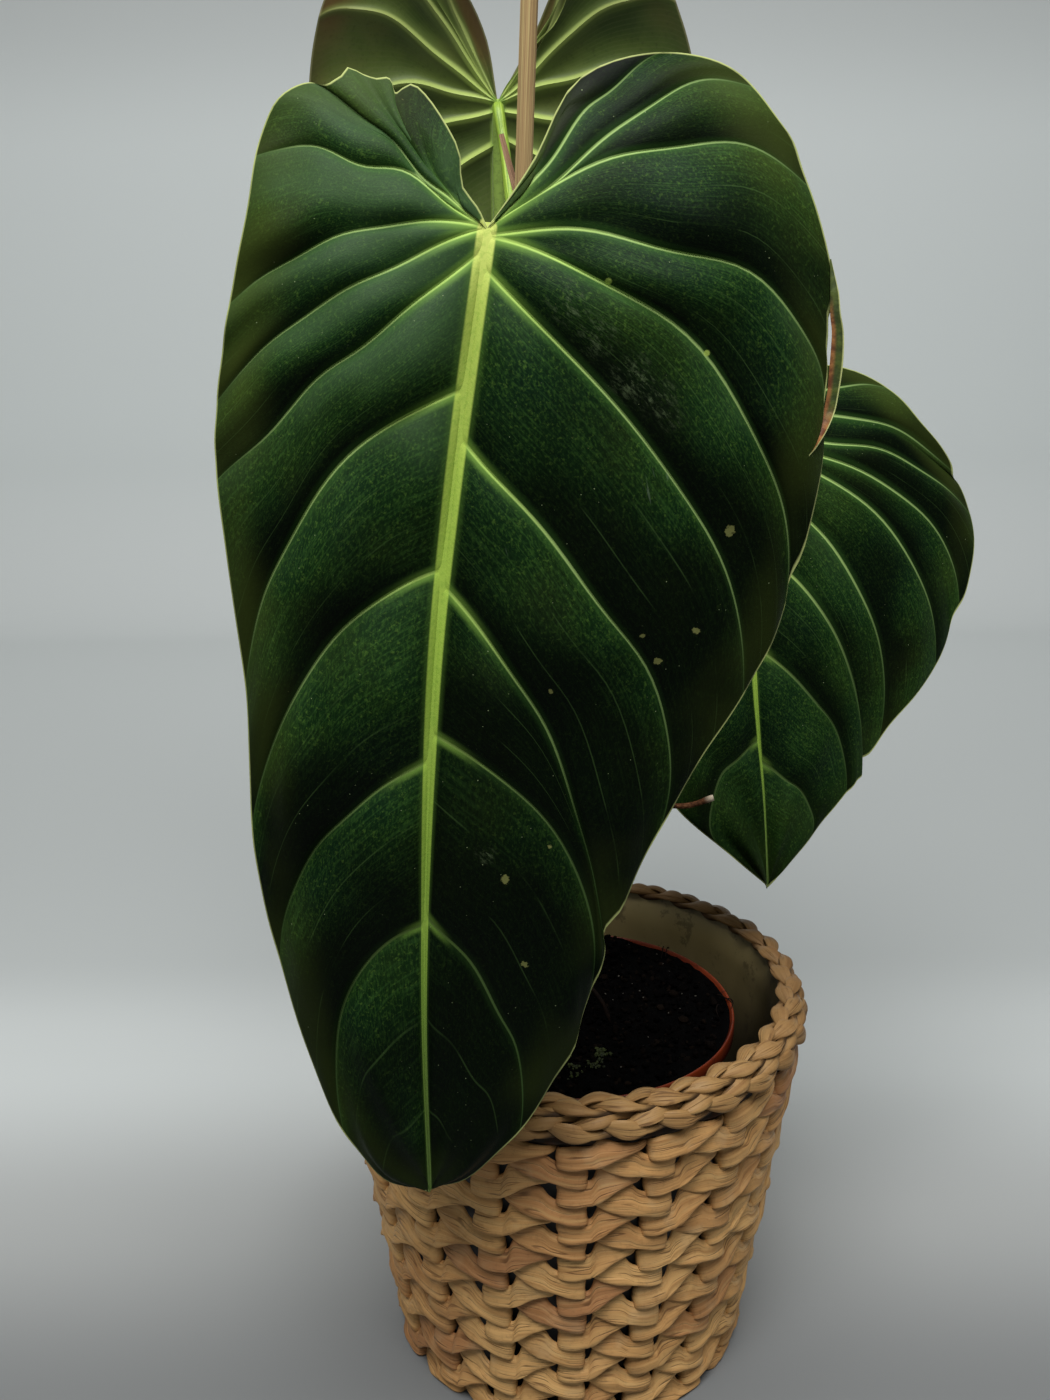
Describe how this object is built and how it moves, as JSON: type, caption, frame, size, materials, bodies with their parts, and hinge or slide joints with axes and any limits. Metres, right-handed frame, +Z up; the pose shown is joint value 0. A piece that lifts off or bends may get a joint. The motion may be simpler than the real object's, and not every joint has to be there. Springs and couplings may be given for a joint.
{
  "type": "potted black gold philodendron",
  "caption": "Climbing aroid with hanging dark velvety heart-shaped leaves on a wooden stake, in a nursery pot inside a lined, woven water-hyacinth basket.",
  "frame": {"origin": "centre of the basket base's underside, on the floor", "axes": "+Z up; -Y is the side that the large front leaf faces; +X is to the right of it as seen from the front"},
  "size_m": [0.2517, 0.2467, 0.5721],
  "materials": {
    "strand": "matte",
    "wire": "matte",
    "liner": "satin",
    "pot": "satin",
    "soil": "matte",
    "stake": "matte",
    "tie": "matte",
    "stem": "satin",
    "petiole": "satin",
    "blade": "matte",
    "scale": "matte",
    "root": "matte"
  },
  "bodies": {
    "root": {"basket_weave": "strand", "basket_braid": "strand", "basket_base": "strand", "wire_frame": "wire", "basket_liner": "liner", "nursery_pot": "pot", "potting_soil": "soil", "stake": "stake", "tie_lower": "tie", "tie_upper": "tie", "stem": "stem", "petiole_front": "petiole", "petiole_right": "petiole", "petiole_back": "petiole", "blade_front": "blade", "blade_right": "blade", "blade_back": "blade", "cataphyll_front": "scale", "cataphyll_right": "scale", "cataphyll_back": "scale", "aerial_root_cut": "root", "aerial_root_left": "root", "aerial_root_right": "root"}
  },
  "joints": []
}
